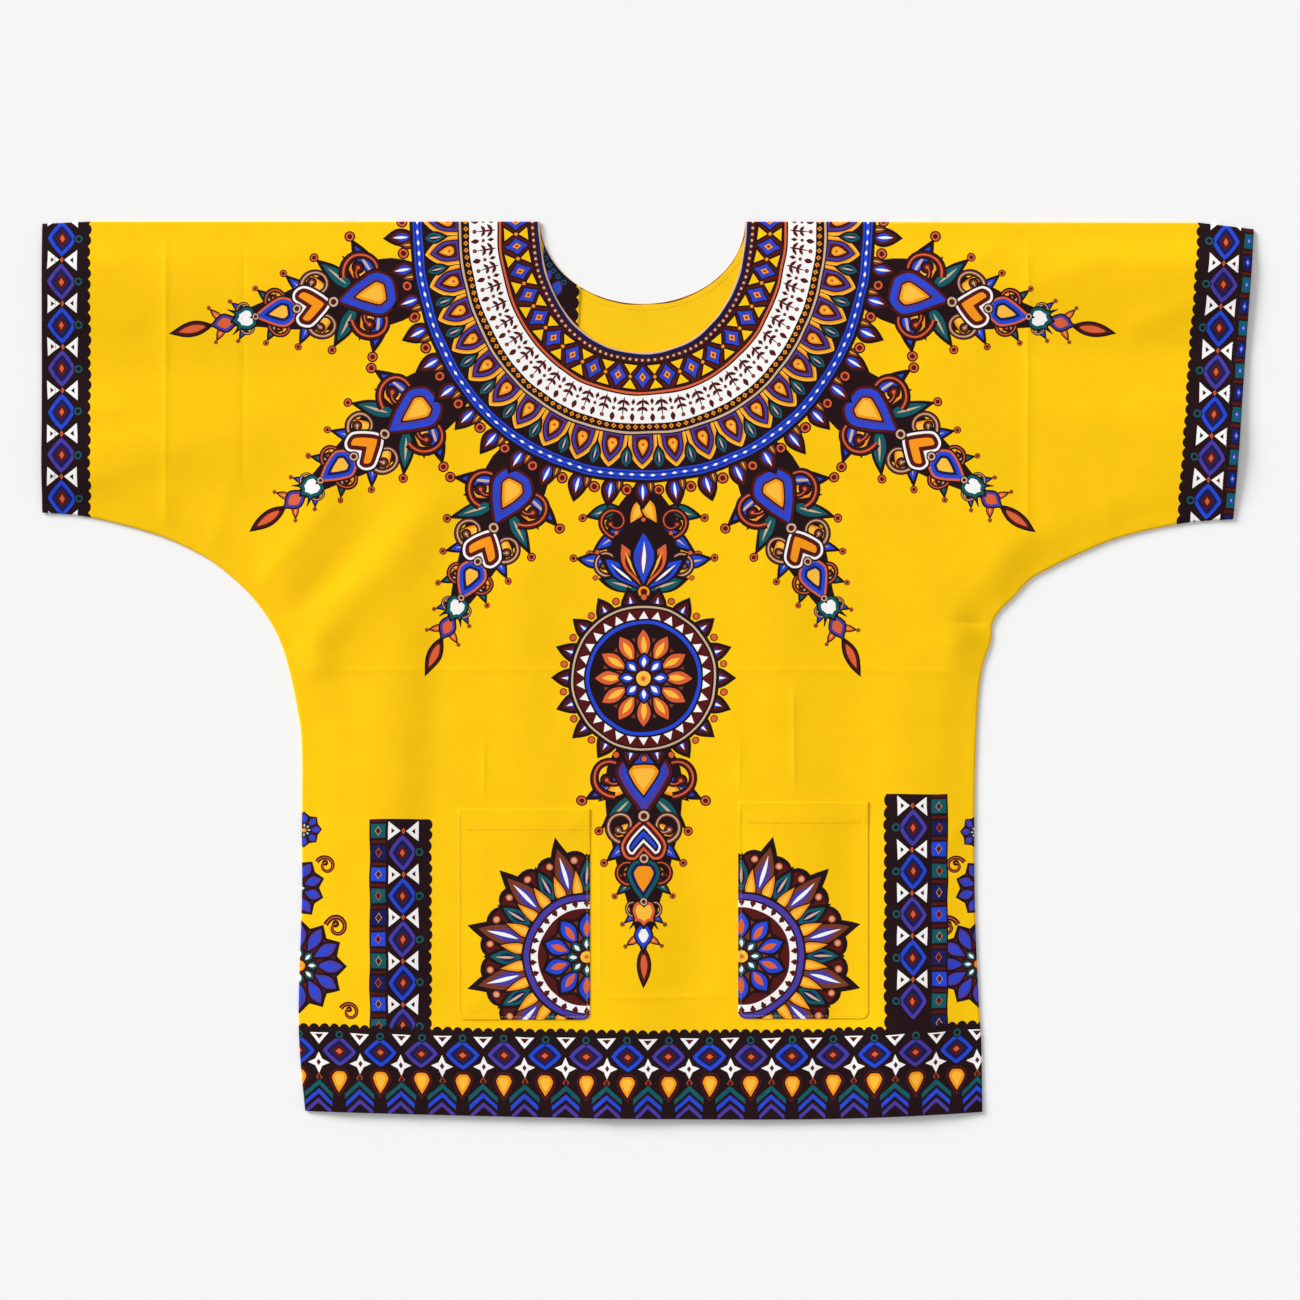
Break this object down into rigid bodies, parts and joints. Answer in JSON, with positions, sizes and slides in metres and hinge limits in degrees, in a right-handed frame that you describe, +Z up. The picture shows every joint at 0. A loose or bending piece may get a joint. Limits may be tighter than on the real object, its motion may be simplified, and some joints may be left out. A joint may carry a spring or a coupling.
{
  "type": "dashiki shirt laid flat",
  "caption": "Short-sleeved kimono-cut dashiki shirt in printed cotton, laid flat face up, with a scooped neck and patch pockets.",
  "frame": {"origin": "on the surface the shirt lies on, under the middle of its bounding box", "axes": "+X towards the cuff on the viewer's right, +Y from the hem to the neck, +Z up, out of the printed front"},
  "size_m": [1.12, 0.8296, 0.0101],
  "materials": {
    "front_cotton": "matte printed cotton",
    "back_cotton": "matte printed cotton",
    "pocket_cotton": "matte printed cotton",
    "facing_cotton": "matte printed cotton"
  },
  "bodies": {
    "root": {"back_panel": "back_cotton", "front_panel": "front_cotton", "pocket_left": "pocket_cotton", "pocket_right": "pocket_cotton", "neck_facing": "facing_cotton"}
  },
  "joints": []
}
